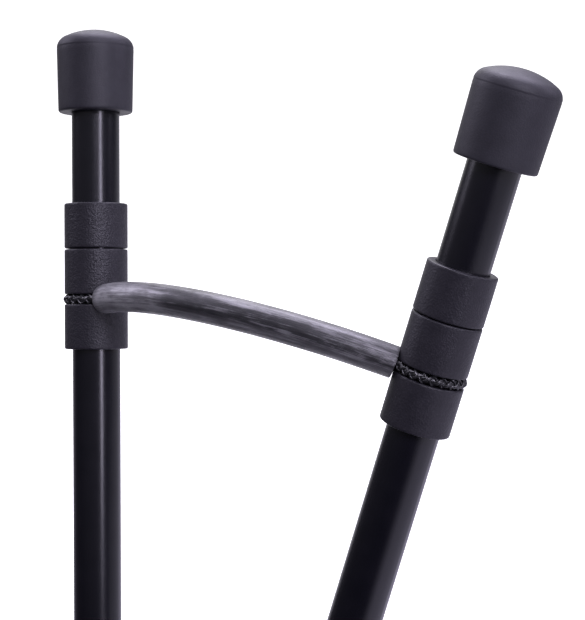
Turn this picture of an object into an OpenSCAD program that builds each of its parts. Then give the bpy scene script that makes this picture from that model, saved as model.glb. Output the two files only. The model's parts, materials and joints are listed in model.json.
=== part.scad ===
// Floor stand for a stringed instrument: a V of two padded arms on a tripod base.
// Units are millimetres. +Z is up, +X is the right arm's side, -Y is the player's side.
// The origin lies on the floor, at the centre of the stand's footprint box.

/* [Arms] */
// Outside diameter of the arm and leg tubes
tube_d = 19; // [18:0.5:20]
// Wall thickness of the arm and leg tubes
tube_wall = 1.5; // [1.2:0.1:2]
// Angle between each arm and the middle of the V
half_angle = 9.7; // [9:0.1:11]
// Angle that the V leans back from upright
lean = 13.4; // [8:0.1:16]
// Distance along an arm from the point where the arm axes meet to the mouth of its cap
arm_reach = 536; // [480:1:600]

/* [Caps and rings] */
// Outside diameter of a cap at its mouth
cap_mouth_d = 29.6; // [27:0.1:31]
// Outside diameter of a cap at its shoulder
cap_top_d = 30.8; // [28:0.1:33]
// Height of a cap's wall, from mouth to shoulder
cap_wall_h = 25.5; // [24:0.5:30]
// Height of the dome above the shoulder
cap_dome_h = 7.5; // [6:0.1:10]
// Outside diameter of a ring
ring_d = 25.3; // [24:0.1:28]
// Height of a ring
ring_h = 17.9; // [14:0.1:20]
// Bare tube between a cap's mouth and the first ring
cap_to_ring = 36.5; // [25:0.5:50]
// Gap between the first and the second ring
ring_gap = 0.4; // [0.3:0.1:1]
// Gap between the second and the third ring, where the cord lies
cord_gap = 4; // [3.8:0.1:5]

/* [Padded cord] */
// Diameter of the cord
cord_d = 3.4; // [2.8:0.1:3.5]
// Outside diameter of the hose
hose_d = 11.7; // [10.5:0.1:12]
// Bore of the hose
hose_bore_d = 7.8; // [7.6:0.1:8.2]
// Angle round a ring from straight inwards to where the hose meets it, towards the front
hose_meets_at = 31; // [20:1:40]
// How far the middle of the hose stands out from the line between its ends
hose_bow = 21.5; // [15:0.5:26]
// Tilt of the hose's bow above square to the V
hose_tilt = 21; // [0:1:30]

/* [Base] */
// Height of the middle of the leg hinges above the floor
leg_hinge_z = 170; // [165:1:190]
// Slope of the legs below level
leg_slope = 37; // [34:1:40]
// Distance of a leg's hinge bolt from the middle of the hub
leg_bolt_r = 42; // [41:1:46]
// Height of the tilt bolt above the leg hinges
tilt_above_legs = 70; // [68:1:76]

/* [Cradle] */
// Angle of each cradle arm from straight ahead
cradle_splay = 38; // [36:1:42]
// Rise of the cradle arms above level
cradle_rise = 8; // [4:1:12]
// Length of the padding sleeve
sleeve_len = 130; // [100:5:150]
// Outside diameter of the padding sleeve
sleeve_d = 22; // [18:1:23]

/* [Hidden] */

$fn = 64;
LEFT = -1;
RIGHT = 1;
tube_r = tube_d / 2;
fit = 0.05;       // radial clearance of a running or push fit
far = 1;          // how far a cutter runs past the face it opens

// Hub
core_r = 21;
core_foot_z = leg_hinge_z - 39;
core_top_z = leg_hinge_z + 35;
flange_gap = 30;
flange_t = 10;
flange_w = 26;
bolt_r = 4;
bolt_head_r = 7;
bolt_head_h = 5;
washer_t = 0.8;
eye_gap = 0.2;
eye_h = flange_gap - 2 * (washer_t + eye_gap);
boss_r = 10;
boss_end = 38;

// Bush and stem
stem_r = 11;
stem_wall = 2;
bush_r = 13;
bush_flange_r = 16;
bush_flange_t = 2;
stem_foot_z = core_foot_z - 63;
stem_top_z = core_top_z + 14;
plug_flange_r = 13.5;
groove_w = 5.6;
groove_depth = 1.3;
guide_r = 2.5;
guide_z = core_top_z - 5;

// Legs: the tube starts past the lug's neck and ends just above the floor
neck_len = 30;
neck_w = 20;
lug_socket_r = 12.5;
lug_socket_len = 42;
leg_end_z = 9.5;
leg_slant = (leg_hinge_z - leg_end_z) / sin(leg_slope);
leg_end_reach = leg_bolt_r + neck_len + leg_slant * cos(leg_slope);
leg_inset = 6;
FRONT_LEG_AT = 30;   // degrees forward of the X axis

// Tilt hinge and knobs
tilt_z = leg_hinge_z + tilt_above_legs;
head_foot_z = core_top_z + 0.2;
head_collar_h = 17;
head_collar_r = 16;
ear_r = 13;
ear_t = 7;
tongue_w = 18;
tongue_gap = 0.2;
ear_out = tongue_w / 2 + tongue_gap + ear_t;
knob_r = 15;
knob_h = 18;
knob_lobes = 6;
insert_r = 6.5;

// Cradle
cradle_hinge_r = 36;
cradle_hinge_z = core_top_z + 10.2;
cradle_ear_r = 9;
cradle_ear_t = 5;
cradle_tongue_w = 12;
cradle_pin_r = 3;
cradle_tube_r = 6;
cradle_socket_r = 8.5;
cradle_socket_at = 14;
cradle_socket_end = 42;
cradle_run = cradle_socket_end + sleeve_len + 6;
cradle_bend_r = 24;
cradle_bend = 55;
cradle_tip_run = 16;
tip_r = 9;
tip_gap = 0.05;

// V: distances along an arm from the point where the axes meet
tilt_s = 35;
socket_foot_s = 55;
socket_top_s = 106;
socket_r = 13;
arm_foot_s = 62;
cap_bore_h = 27;
cap_shoulder_r = 5;
arm_top_s = arm_reach + cap_bore_h;
ring_r = ring_d / 2;
ring_tops = [
    arm_reach - cap_to_ring,
    arm_reach - cap_to_ring - ring_h - ring_gap,
    arm_reach - cap_to_ring - 2 * ring_h - ring_gap - cord_gap
];
cord_s = ring_tops[2] + cord_gap / 2;

// Hose: a circular arc from ring to ring
hose_r = hose_d / 2;
end_r = ring_r + 0.2;
chord_half = cord_s * sin(half_angle) - end_r * cos(hose_meets_at) * cos(half_angle);
chord_z = cord_s * cos(half_angle) + end_r * cos(hose_meets_at) * sin(half_angle);
chord_y = -end_r * sin(hose_meets_at);
bend_r = (chord_half * chord_half + hose_bow * hose_bow) / (2 * hose_bow);
bend_half = asin(chord_half / bend_r);

// Cord: two strands side by side in the hose, then a turn round each arm
strand = 1.8;
wrap_r = tube_r + cord_d / 2 + 0.15;
exit_r = norm([end_r, strand]);
wrap_from = acos(wrap_r / exit_r) + atan(strand / end_r);

hose_at = 180 + hose_meets_at;
strand_steps = [-1 : 0.125 : 1];
turn_steps = [for (i = [0 : 15]) wrap_from + i * (360 - 2 * wrap_from) / 15];

// Footprint: the stand is centred between the rear foot and the cradle tips
cap_r = cap_top_d / 2;
rear_extent = leg_end_reach + cap_r * sin(leg_slope) + 0.8;
tip_extent = cradle_run * cos(cradle_rise) + cradle_bend_r * sin(cradle_bend) + cradle_tip_run * cos(cradle_bend);
front_extent = cradle_hinge_r * cos(cradle_splay) + tip_extent * cos(cradle_splay) + tip_r;
axis_y = (front_extent - rear_extent) / 2;

// Colours
BLACK_PAINT = "#141519";
BLACK_RUBBER = "#26272a";
GREY_RUBBER = "#3a3b3e";
BLACK_PLASTIC = "#1b1c1e";
ZINC = "#9a9da2";
CORD_BLACK = "#101012";

// ---- Points of the cord, in the V's own frame ----

function unit(v) = v / norm(v);

function from_bend(r, angle) = [
    r * cos(angle),
    chord_y - (r * sin(angle) + hose_bow - bend_r) * cos(hose_tilt),
    chord_z + (r * sin(angle) + hose_bow - bend_r) * sin(hose_tilt)
];

function from_arm(side, angle) = [
    side * (wrap_r * cos(angle) * cos(half_angle) + cord_s * sin(half_angle)),
    wrap_r * sin(angle),
    cord_s * cos(half_angle) - wrap_r * cos(angle) * sin(half_angle)
];

// ---- Frames ----

module at_stand() {
    translate([0, axis_y, 0]) children();
}

// The V's own frame: Z up its middle, -Y square to its front, origin where the axes meet
module at_yoke() {
    at_stand() translate([0, 0, tilt_z]) rotate([-lean, 0, 0]) translate([0, 0, -tilt_s]) children();
}

// Along one arm, Z measured from the point where the axes meet
module at_arm(side) {
    at_yoke() mirror([side == LEFT ? 1 : 0, 0, 0]) rotate([0, half_angle, 0]) children();
}

// Along one leg: +X points away from the hub, origin on the hinge bolt
module at_leg(angle) {
    at_stand() rotate([0, 0, angle]) translate([leg_bolt_r, 0, leg_hinge_z]) children();
}

// Along one cradle arm: +X points away from the stem, origin on the hinge pin
module at_cradle(side) {
    at_stand() rotate([0, 0, side == LEFT ? -90 - cradle_splay : -90 + cradle_splay])
        translate([cradle_hinge_r, 0, cradle_hinge_z]) children();
}

// ---- Shapes ----

module pipe(r, wall, h) {
    difference() {
        cylinder(r = r, h = h);
        translate([0, 0, -far]) cylinder(r = r - wall, h = h + 2 * far);
    }
}

module ring_shape(r, bore_r, h, edge) {
    rotate_extrude() polygon([
        [bore_r, 0], [r - edge, 0], [r - edge * 0.3, edge * 0.3], [r, edge],
        [r, h - edge], [r - edge * 0.3, h - edge * 0.3], [r - edge, h], [bore_r, h]
    ]);
}

// Rubber cap with its mouth at Z 0: slightly wider at the shoulder, with a shallow dome
module cap_shape() {
    top_r = cap_top_d / 2;
    mouth_r = cap_mouth_d / 2;
    edge_r = top_r - cap_shoulder_r;
    dome_r = (edge_r * edge_r + cap_dome_h * cap_dome_h - cap_shoulder_r * cap_shoulder_r)
        / (2 * (cap_dome_h - cap_shoulder_r));
    dome_turn = atan2(edge_r, dome_r - cap_dome_h);
    dome_mid_z = cap_wall_h + cap_dome_h - dome_r;
    rotate_extrude() polygon(concat(
        [[0, cap_bore_h], [tube_r + fit, cap_bore_h], [tube_r + fit, 0], [mouth_r - 0.8, 0], [mouth_r, 0.8]],
        [for (i = [0 : 4]) [edge_r + cap_shoulder_r * cos(i * (90 - dome_turn) / 4),
            cap_wall_h + cap_shoulder_r * sin(i * (90 - dome_turn) / 4)]],
        [for (i = [3, 2, 1]) [dome_r * sin(i * dome_turn / 4), dome_mid_z + dome_r * cos(i * dome_turn / 4)]],
        [[0, cap_wall_h + cap_dome_h]]
    ));
}

// Star knob with its flat face at Z 0 and its axis along Z
module knob_shape(bore_r, through) {
    difference() {
        union() {
            cylinder(r = knob_r - 3, h = knob_h);
            for (i = [0 : knob_lobes - 1])
                rotate([0, 0, i * 360 / knob_lobes]) translate([knob_r - 4, 0, 3]) cylinder(r = 4, h = knob_h - 3);
        }
        translate([0, 0, -far]) cylinder(r = bore_r, h = through + far);
    }
}

// Tube round a closed route that lies nearly square to Z
module loop_tube(route, r) {
    n = len(route);
    sides = 8;
    along = [for (i = [0 : n - 1]) unit(route[(i + 1) % n] - route[(i + n - 1) % n])];
    across = [for (t = along) unit(cross(t, [0, 0, 1]))];
    points = [for (i = [0 : n - 1], k = [0 : sides - 1])
        route[i] + r * (cos(k * 360 / sides) * across[i] + sin(k * 360 / sides) * cross(across[i], along[i]))];
    faces = [for (i = [0 : n - 1], k = [0 : sides - 1])
        [i * sides + k, i * sides + (k + 1) % sides,
            ((i + 1) % n) * sides + (k + 1) % sides, ((i + 1) % n) * sides + k]];
    polyhedron(points = points, faces = faces);
}

// ---- Base ----

module flange(z) {
    translate([0, 0, z]) {
        for (a = [90, 180 + FRONT_LEG_AT, -FRONT_LEG_AT])
            rotate([0, 0, a]) {
                translate([0, -flange_w / 2, 0]) cube([leg_bolt_r, flange_w, flange_t]);
                translate([leg_bolt_r, 0, 0]) cylinder(r = flange_w / 2, h = flange_t);
            }
    }
}

module hub_body() {
    color(BLACK_PLASTIC) at_stand() difference() {
        union() {
            translate([0, 0, core_foot_z]) cylinder(r = core_r, h = core_top_z - core_foot_z);
            flange(leg_hinge_z - flange_gap / 2 - flange_t);
            flange(leg_hinge_z + flange_gap / 2);
            translate([0, 0, leg_hinge_z]) rotate([90, 0, 0]) cylinder(r = boss_r, h = boss_end);
        }
        translate([0, 0, core_foot_z - far])
            cylinder(r = bush_r + fit, h = core_top_z - core_foot_z + 2 * far);
        for (a = [90, 180 + FRONT_LEG_AT, -FRONT_LEG_AT])
            rotate([0, 0, a]) translate([leg_bolt_r, 0, core_foot_z - far])
                cylinder(r = bolt_r + fit, h = core_top_z - core_foot_z);
        translate([0, 0, leg_hinge_z]) rotate([90, 0, 0]) cylinder(r = bolt_r + fit, h = boss_end + far);
        translate([0, 0, guide_z]) rotate([-90, 0, 0]) cylinder(r = guide_r + fit, h = core_r + far);
    }
}

module stem_bush() {
    color("#c9c7bd") at_stand() difference() {
        union() {
            translate([0, 0, core_foot_z]) cylinder(r = bush_r, h = core_top_z - core_foot_z);
            translate([0, 0, core_foot_z - bush_flange_t]) cylinder(r = bush_flange_r, h = bush_flange_t);
        }
        translate([0, 0, core_foot_z - bush_flange_t - far])
            cylinder(r = stem_r + fit, h = core_top_z - core_foot_z + bush_flange_t + 2 * far);
        translate([0, 0, leg_hinge_z]) rotate([90, 0, 0]) cylinder(r = bolt_r + 0.4, h = core_r);
        translate([0, 0, guide_z]) rotate([-90, 0, 0]) cylinder(r = guide_r + 0.3, h = core_r);
    }
}

module guide_screw() {
    tip_y = stem_r - groove_depth + 0.4;
    color(ZINC) at_stand() translate([0, 0, guide_z]) rotate([-90, 0, 0]) {
        translate([0, 0, tip_y]) cylinder(r = guide_r, h = core_r - tip_y);
        difference() {
            translate([0, 0, core_r]) cylinder(r = 4.5, h = 3);
            translate([0, 0, core_r + 1]) cylinder(r = 2, h = 3, $fn = 6);
        }
    }
}

module leg_bolts() {
    foot_z = leg_hinge_z - flange_gap / 2 - flange_t - 7;
    top_z = leg_hinge_z + flange_gap / 2 + flange_t;
    color(ZINC) at_stand() for (a = [90, 180 + FRONT_LEG_AT, -FRONT_LEG_AT])
        rotate([0, 0, a]) translate([leg_bolt_r, 0, 0]) {
            translate([0, 0, foot_z]) cylinder(r = bolt_r, h = top_z - foot_z);
            difference() {
                translate([0, 0, top_z]) cylinder(r = bolt_head_r, h = bolt_head_h);
                translate([0, 0, top_z + 2]) cylinder(r = 3, h = bolt_head_h, $fn = 6);
            }
        }
}

module leg_nuts() {
    top_z = leg_hinge_z - flange_gap / 2 - flange_t;
    color(ZINC) at_stand() for (a = [90, 180 + FRONT_LEG_AT, -FRONT_LEG_AT])
        rotate([0, 0, a]) translate([leg_bolt_r, 0, top_z - 6]) difference() {
            cylinder(r = 7.5, h = 6, $fn = 6);
            translate([0, 0, -far]) cylinder(r = bolt_r + fit, h = 6 + 2 * far);
        }
}

module leg_washers() {
    color(ZINC) at_stand() for (a = [90, 180 + FRONT_LEG_AT, -FRONT_LEG_AT])
        for (z = [leg_hinge_z - flange_gap / 2, leg_hinge_z + flange_gap / 2 - washer_t])
            rotate([0, 0, a]) translate([leg_bolt_r, 0, z]) difference() {
                cylinder(r = 11, h = washer_t);
                translate([0, 0, -far]) cylinder(r = bolt_r + fit, h = washer_t + 2 * far);
            }
}

// ---- Legs ----

module leg_lug(angle) {
    color(BLACK_PLASTIC) at_leg(angle) difference() {
        union() {
            translate([0, 0, -eye_h / 2]) cylinder(r = flange_w / 2 - 1, h = eye_h);
            translate([0, -neck_w / 2, -eye_h / 2 + 1]) cube([neck_len, neck_w, eye_h - 3]);
            translate([neck_len, 0, 0]) rotate([0, 90 + leg_slope, 0])
                cylinder(r = lug_socket_r, h = lug_socket_len);
        }
        translate([0, 0, -eye_h]) cylinder(r = bolt_r + fit, h = 2 * eye_h);
        translate([neck_len, 0, 0]) rotate([0, 90 + leg_slope, 0]) translate([0, 0, leg_inset])
            cylinder(r = tube_r + fit, h = lug_socket_len);
    }
}

module leg_tube(angle) {
    color(BLACK_PAINT) at_leg(angle) translate([neck_len, 0, 0]) rotate([0, 90 + leg_slope, 0])
        translate([0, 0, leg_inset]) pipe(tube_r, tube_wall, leg_slant - leg_inset);
}

module leg_foot(angle) {
    color(BLACK_RUBBER) intersection() {
        at_leg(angle) translate([neck_len, 0, 0]) rotate([0, 90 + leg_slope, 0])
            translate([0, 0, leg_slant - cap_bore_h]) cap_shape();
        translate([-500, -500, 0]) cube([1000, 1000, 100]);
    }
}

module rear_leg_lug() { leg_lug(90); }
module rear_leg_tube() { leg_tube(90); }
module rear_leg_foot() { leg_foot(90); }
module leg_left_lug() { leg_lug(180 + FRONT_LEG_AT); }
module leg_left_tube() { leg_tube(180 + FRONT_LEG_AT); }
module leg_left_foot() { leg_foot(180 + FRONT_LEG_AT); }
module leg_right_lug() { leg_lug(-FRONT_LEG_AT); }
module leg_right_tube() { leg_tube(-FRONT_LEG_AT); }
module leg_right_foot() { leg_foot(-FRONT_LEG_AT); }

// ---- Stem ----

module stem_tube() {
    color(ZINC) at_stand() difference() {
        translate([0, 0, stem_foot_z]) pipe(stem_r, stem_wall, stem_top_z - stem_foot_z);
        translate([-groove_w / 2, stem_r - groove_depth, stem_foot_z + 12])
            cube([groove_w, 2 * groove_depth, core_top_z - stem_foot_z - 12]);
    }
}

module stem_plug() {
    color(BLACK_PLASTIC) at_stand() translate([0, 0, stem_foot_z]) {
        translate([0, 0, -4]) cylinder(r = plug_flange_r, h = 4);
        cylinder(r = stem_r - stem_wall - fit, h = 10);
    }
}

module cradle_ears(side) {
    rotate([0, 0, side == LEFT ? -90 - cradle_splay : -90 + cradle_splay])
        for (y = [-cradle_tongue_w / 2 - 0.2 - cradle_ear_t, cradle_tongue_w / 2 + 0.2])
            translate([0, y, cradle_hinge_z]) {
                translate([10, 0, -cradle_ear_r]) cube([cradle_hinge_r - 10, cradle_ear_t, 2 * cradle_ear_r]);
                translate([cradle_hinge_r, 0, 0]) rotate([-90, 0, 0]) cylinder(r = cradle_ear_r, h = cradle_ear_t);
            }
}

module stem_head() {
    collar_top = head_foot_z + head_collar_h;
    color(BLACK_PLASTIC) at_stand() difference() {
        union() {
            translate([0, 0, head_foot_z]) cylinder(r = head_collar_r, h = head_collar_h);
            for (x = [-ear_out, ear_out - ear_t]) {
                translate([x, -ear_r + 1, collar_top - 4]) cube([ear_t, 2 * ear_r - 2, tilt_z - collar_top + 4]);
                translate([x, 0, tilt_z]) rotate([0, 90, 0]) cylinder(r = ear_r, h = ear_t);
            }
            cradle_ears(LEFT);
            cradle_ears(RIGHT);
        }
        translate([0, 0, head_foot_z - far]) cylinder(r = stem_r + fit, h = stem_top_z - head_foot_z + far);
        translate([-ear_out - far, 0, tilt_z]) rotate([0, 90, 0])
            cylinder(r = bolt_r + fit, h = 2 * ear_out + 2 * far);
        for (side = [LEFT, RIGHT])
            rotate([0, 0, side == LEFT ? -90 - cradle_splay : -90 + cradle_splay])
                translate([cradle_hinge_r, -20, cradle_hinge_z]) rotate([-90, 0, 0])
                    cylinder(r = cradle_pin_r + fit, h = 40);
    }
}

module tilt_bolt() {
    color(ZINC) at_stand() translate([0, 0, tilt_z]) rotate([0, 90, 0]) {
        difference() {
            translate([0, 0, -ear_out - 1 - bolt_head_h]) cylinder(r = bolt_head_r, h = bolt_head_h);
            translate([0, 0, -ear_out - 4 - bolt_head_h]) cylinder(r = 3, h = 6, $fn = 6);
        }
        translate([0, 0, -ear_out - 1]) cylinder(r = bolt_r, h = 2 * ear_out + 16);
    }
}

module tilt_washers() {
    color(ZINC) at_stand() translate([0, 0, tilt_z]) rotate([0, 90, 0])
        for (x = [-ear_out - 1, ear_out]) translate([0, 0, x]) difference() {
            cylinder(r = 9, h = 1);
            translate([0, 0, -far]) cylinder(r = bolt_r + fit, h = 1 + 2 * far);
        }
}

module cradle_pins() {
    reach = cradle_tongue_w / 2 + 0.2 + cradle_ear_t;
    color(ZINC) for (side = [LEFT, RIGHT]) at_cradle(side) rotate([-90, 0, 0]) {
        translate([0, 0, -reach]) cylinder(r = cradle_pin_r, h = 2 * reach);
        translate([0, 0, -reach - 2]) cylinder(r = 5, h = 2);
        translate([0, 0, reach]) cylinder(r = 5, h = 2);
    }
}

// ---- Knobs ----

module height_knob_grip() {
    color(BLACK_PLASTIC) at_stand() translate([0, -boss_end - 2, leg_hinge_z]) rotate([90, 0, 0])
        knob_shape(bolt_r + fit, knob_h - 4);
}

module height_knob_screw() {
    tip = stem_r + 0.3;
    color(ZINC) at_stand() translate([0, -tip, leg_hinge_z]) rotate([90, 0, 0])
        cylinder(r = bolt_r, h = boss_end + 2 + knob_h - 4 - tip);
}

module tilt_knob_insert() {
    color("#b08d4a") at_stand() translate([ear_out + 1.3, 0, tilt_z]) rotate([0, 90, 0]) difference() {
        cylinder(r = insert_r, h = 12);
        translate([0, 0, -far]) cylinder(r = bolt_r + fit, h = 12 + 2 * far);
    }
}

module tilt_knob_grip() {
    color(BLACK_PLASTIC) at_stand() translate([ear_out + 1.3, 0, tilt_z]) rotate([0, 90, 0])
        difference() {
            knob_shape(insert_r + fit, 12);
            cylinder(r = bolt_r + 1, h = knob_h - 2);
        }
}

// ---- Cradle ----

module cradle_lug(side) {
    color(BLACK_PLASTIC) at_cradle(side) difference() {
        union() {
            translate([0, cradle_tongue_w / 2, 0]) rotate([90, 0, 0])
                cylinder(r = cradle_ear_r - 0.5, h = cradle_tongue_w);
            rotate([0, -cradle_rise, 0]) {
                translate([0, -cradle_tongue_w / 2, -6.5]) cube([cradle_socket_at + 4, cradle_tongue_w, 13]);
                translate([cradle_socket_at, 0, 0]) rotate([0, 90, 0])
                    cylinder(r = cradle_socket_r, h = cradle_socket_end - cradle_socket_at);
            }
        }
        translate([0, 20, 0]) rotate([90, 0, 0]) cylinder(r = cradle_pin_r + fit, h = 40);
        rotate([0, -cradle_rise, 0]) translate([cradle_socket_at + 4, 0, 0]) rotate([0, 90, 0])
            cylinder(r = cradle_tube_r + fit, h = cradle_socket_end);
    }
}

module cradle_tube(side) {
    start = cradle_socket_at + 4;
    color(BLACK_PAINT) at_cradle(side) rotate([0, -cradle_rise, 0]) {
        translate([start, 0, 0]) rotate([0, 90, 0]) cylinder(r = cradle_tube_r, h = cradle_run - start);
        translate([cradle_run, 0, cradle_bend_r]) rotate([90, 0, 0]) rotate([0, 0, -90])
            rotate_extrude(angle = cradle_bend) translate([cradle_bend_r, 0]) circle(r = cradle_tube_r);
    }
}

module cradle_sleeve(side) {
    color(GREY_RUBBER) at_cradle(side) rotate([0, 90 - cradle_rise, 0]) translate([0, 0, cradle_socket_end + 2])
        ring_shape(sleeve_d / 2, cradle_tube_r + fit, sleeve_len, 3);
}

module cradle_tip(side) {
    color(BLACK_RUBBER) at_cradle(side) rotate([0, -cradle_rise, 0])
        translate([cradle_run, 0, cradle_bend_r]) rotate([0, -cradle_bend, 0])
            translate([tip_gap, 0, -cradle_bend_r]) rotate([0, 90, 0]) rotate_extrude() polygon(concat(
                [[0, 0], [tip_r - 1, 0], [tip_r, 1]],
                [for (a = [0 : 15 : 90]) [tip_r * cos(a), cradle_tip_run + tip_r * sin(a)]]
            ));
}

module cradle_left_lug() { cradle_lug(LEFT); }
module cradle_left_tube() { cradle_tube(LEFT); }
module cradle_left_sleeve() { cradle_sleeve(LEFT); }
module cradle_left_tip() { cradle_tip(LEFT); }
module cradle_right_lug() { cradle_lug(RIGHT); }
module cradle_right_tube() { cradle_tube(RIGHT); }
module cradle_right_sleeve() { cradle_sleeve(RIGHT); }
module cradle_right_tip() { cradle_tip(RIGHT); }

// ---- V of arms ----

module yoke_block() {
    color(BLACK_PLASTIC) difference() {
        union() {
            at_yoke() {
                translate([-tongue_w / 2, 0, tilt_s]) rotate([0, 90, 0]) cylinder(r = ear_r - 0.5, h = tongue_w);
                translate([-tongue_w / 2, -ear_r + 1.5, tilt_s]) cube([tongue_w, 2 * ear_r - 3, 26]);
                translate([-10, -9, socket_foot_s]) cube([20, 18, 46]);
            }
            for (side = [LEFT, RIGHT])
                at_arm(side) translate([0, 0, socket_foot_s]) cylinder(r = socket_r, h = socket_top_s - socket_foot_s);
        }
        at_yoke() translate([-20, 0, tilt_s]) rotate([0, 90, 0]) cylinder(r = bolt_r + fit, h = 40);
        for (side = [LEFT, RIGHT]) at_arm(side) {
            translate([0, 0, arm_foot_s]) cylinder(r = tube_r + fit, h = socket_top_s);
            translate([0, 0, socket_top_s - 14]) rotate([90, 0, 0]) cylinder(r = guide_r + fit, h = socket_r + far);
        }
    }
}

module arm_set_screws() {
    color(ZINC) for (side = [LEFT, RIGHT]) at_arm(side) translate([0, 0, socket_top_s - 14]) rotate([90, 0, 0])
        difference() {
            translate([0, 0, tube_r + 0.1]) cylinder(r = guide_r, h = socket_r - tube_r - 0.6);
            translate([0, 0, socket_r - 2]) cylinder(r = 1.4, h = 4, $fn = 6);
        }
}

module arm_tube(side) {
    color(BLACK_PAINT) at_arm(side) translate([0, 0, arm_foot_s]) pipe(tube_r, tube_wall, arm_top_s - arm_foot_s);
}

module arm_cap(side) {
    color(BLACK_RUBBER) at_arm(side) translate([0, 0, arm_reach]) cap_shape();
}

module arm_ring(side, place) {
    color(BLACK_RUBBER) at_arm(side) translate([0, 0, ring_tops[place] - ring_h])
        ring_shape(ring_r, tube_r + fit, ring_h, 1.2);
}

module arm_left_tube() { arm_tube(LEFT); }
module arm_right_tube() { arm_tube(RIGHT); }
module arm_left_cap() { arm_cap(LEFT); }
module arm_right_cap() { arm_cap(RIGHT); }
module ring_left_top() { arm_ring(LEFT, 0); }
module ring_left_middle() { arm_ring(LEFT, 1); }
module ring_left_bottom() { arm_ring(LEFT, 2); }
module ring_right_top() { arm_ring(RIGHT, 0); }
module ring_right_middle() { arm_ring(RIGHT, 1); }
module ring_right_bottom() { arm_ring(RIGHT, 2); }

// ---- Padded cord ----

// Plane of the hose's bend: +Y points to the middle of the bow, origin at the bend's centre
module at_bend() {
    at_yoke() translate([0, chord_y, chord_z]) rotate([180 - hose_tilt, 0, 0])
        translate([0, hose_bow - bend_r, 0]) children();
}

module bend_arc(r) {
    rotate([0, 0, 90 - bend_half]) rotate_extrude(angle = 2 * bend_half) translate([r, 0]) children();
}

module rest_hose() {
    color(GREY_RUBBER) at_bend() bend_arc(bend_r) difference() {
        circle(d = hose_d);
        circle(d = hose_bore_d);
    }
}

module rest_cord() {
    color(CORD_BLACK) at_yoke() loop_tube(concat(
        [for (a = strand_steps) from_bend(bend_r + strand, 90 - a * bend_half)],
        [for (a = turn_steps) from_arm(RIGHT, hose_at + a)],
        [for (a = strand_steps) from_bend(bend_r - strand, 90 + a * bend_half)],
        [for (a = turn_steps) from_arm(LEFT, hose_at + 360 - a)]
    ), cord_d / 2);
}

hub_body();
stem_bush();
guide_screw();
leg_bolts();
leg_nuts();
leg_washers();
rear_leg_lug();
rear_leg_tube();
rear_leg_foot();
leg_left_lug();
leg_left_tube();
leg_left_foot();
leg_right_lug();
leg_right_tube();
leg_right_foot();
stem_tube();
stem_head();
stem_plug();
tilt_bolt();
tilt_washers();
cradle_pins();
height_knob_grip();
height_knob_screw();
tilt_knob_grip();
tilt_knob_insert();
cradle_left_lug();
cradle_left_tube();
cradle_left_sleeve();
cradle_left_tip();
cradle_right_lug();
cradle_right_tube();
cradle_right_sleeve();
cradle_right_tip();
yoke_block();
arm_set_screws();
arm_left_tube();
arm_right_tube();
arm_left_cap();
arm_right_cap();
ring_left_top();
ring_left_middle();
ring_left_bottom();
ring_right_top();
ring_right_middle();
ring_right_bottom();
rest_hose();
rest_cord();
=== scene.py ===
"""Looks of the instrument floor stand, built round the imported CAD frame. Metres throughout."""
import json
import math

import bmesh
import bpy
from mathutils import Matrix, Vector, noise


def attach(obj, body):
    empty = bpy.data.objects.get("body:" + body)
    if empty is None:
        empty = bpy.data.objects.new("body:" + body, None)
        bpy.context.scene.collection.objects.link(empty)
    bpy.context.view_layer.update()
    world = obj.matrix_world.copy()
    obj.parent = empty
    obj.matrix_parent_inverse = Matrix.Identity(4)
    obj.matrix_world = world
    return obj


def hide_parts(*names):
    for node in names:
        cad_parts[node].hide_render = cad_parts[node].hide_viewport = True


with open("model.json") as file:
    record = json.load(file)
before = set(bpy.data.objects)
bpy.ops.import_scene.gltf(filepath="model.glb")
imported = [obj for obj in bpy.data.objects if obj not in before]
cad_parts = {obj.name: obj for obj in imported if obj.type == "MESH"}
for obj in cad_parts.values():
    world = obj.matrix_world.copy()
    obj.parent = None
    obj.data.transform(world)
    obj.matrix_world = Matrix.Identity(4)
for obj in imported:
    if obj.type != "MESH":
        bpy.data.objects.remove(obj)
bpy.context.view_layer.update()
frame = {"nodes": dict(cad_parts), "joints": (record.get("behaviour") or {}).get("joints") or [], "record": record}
JOINTS = {j["name"]: j for j in frame["joints"]}
NODES = frame["nodes"]
scene = bpy.context.scene
scene.view_settings.view_transform = "Standard"

# ---- Sizes repeated from the CAD, in metres ----

LEAN = math.radians(13.4)
HALF_ANGLE = math.radians(9.7)
TILT_S = 0.035
ARM_REACH = 0.536
TUBE_R = 0.0095
FIT = 0.00005
CAP_MOUTH_R = 0.0148
CAP_TOP_R = 0.0154
CAP_WALL_H = 0.0255
CAP_DOME_H = 0.00745  # 0.05 mm under the CAD, so that the rounder dome stays inside its box
CAP_SHOULDER_R = 0.005
CAP_BORE_H = 0.027
RING_R = 0.01265
RING_H = 0.0179
CAP_TO_RING = 0.0365
RING_GAP = 0.0004
CORD_GAP = 0.004
CORD_R = 0.0017
HOSE_R = 0.00585
HOSE_BORE_R = 0.0039
HOSE_MEETS_AT = math.radians(31)
HOSE_BOW = 0.0215
HOSE_TILT = math.radians(21)
STRAND = 0.0018
LEG_SLOPE = math.radians(37)
NECK_LEN = 0.030
LEG_END_Z = 0.0095
CRADLE_RISE = math.radians(8)
SLEEVE_START = 0.044
SLEEVE_LEN = 0.130
SLEEVE_R = 0.011
CRADLE_ROD_R = 0.006
CRADLE_RUN = 0.178
CRADLE_BEND_R = 0.024
CRADLE_BEND = math.radians(55)
TIP_R = 0.009
TIP_RUN = 0.016

SIDES = {"left": -1, "right": 1}
RING_TOPS = {
    "top": ARM_REACH - CAP_TO_RING,
    "middle": ARM_REACH - CAP_TO_RING - RING_H - RING_GAP,
    "bottom": ARM_REACH - CAP_TO_RING - 2 * RING_H - RING_GAP - CORD_GAP,
}
CORD_S = RING_TOPS["bottom"] + CORD_GAP / 2

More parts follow.
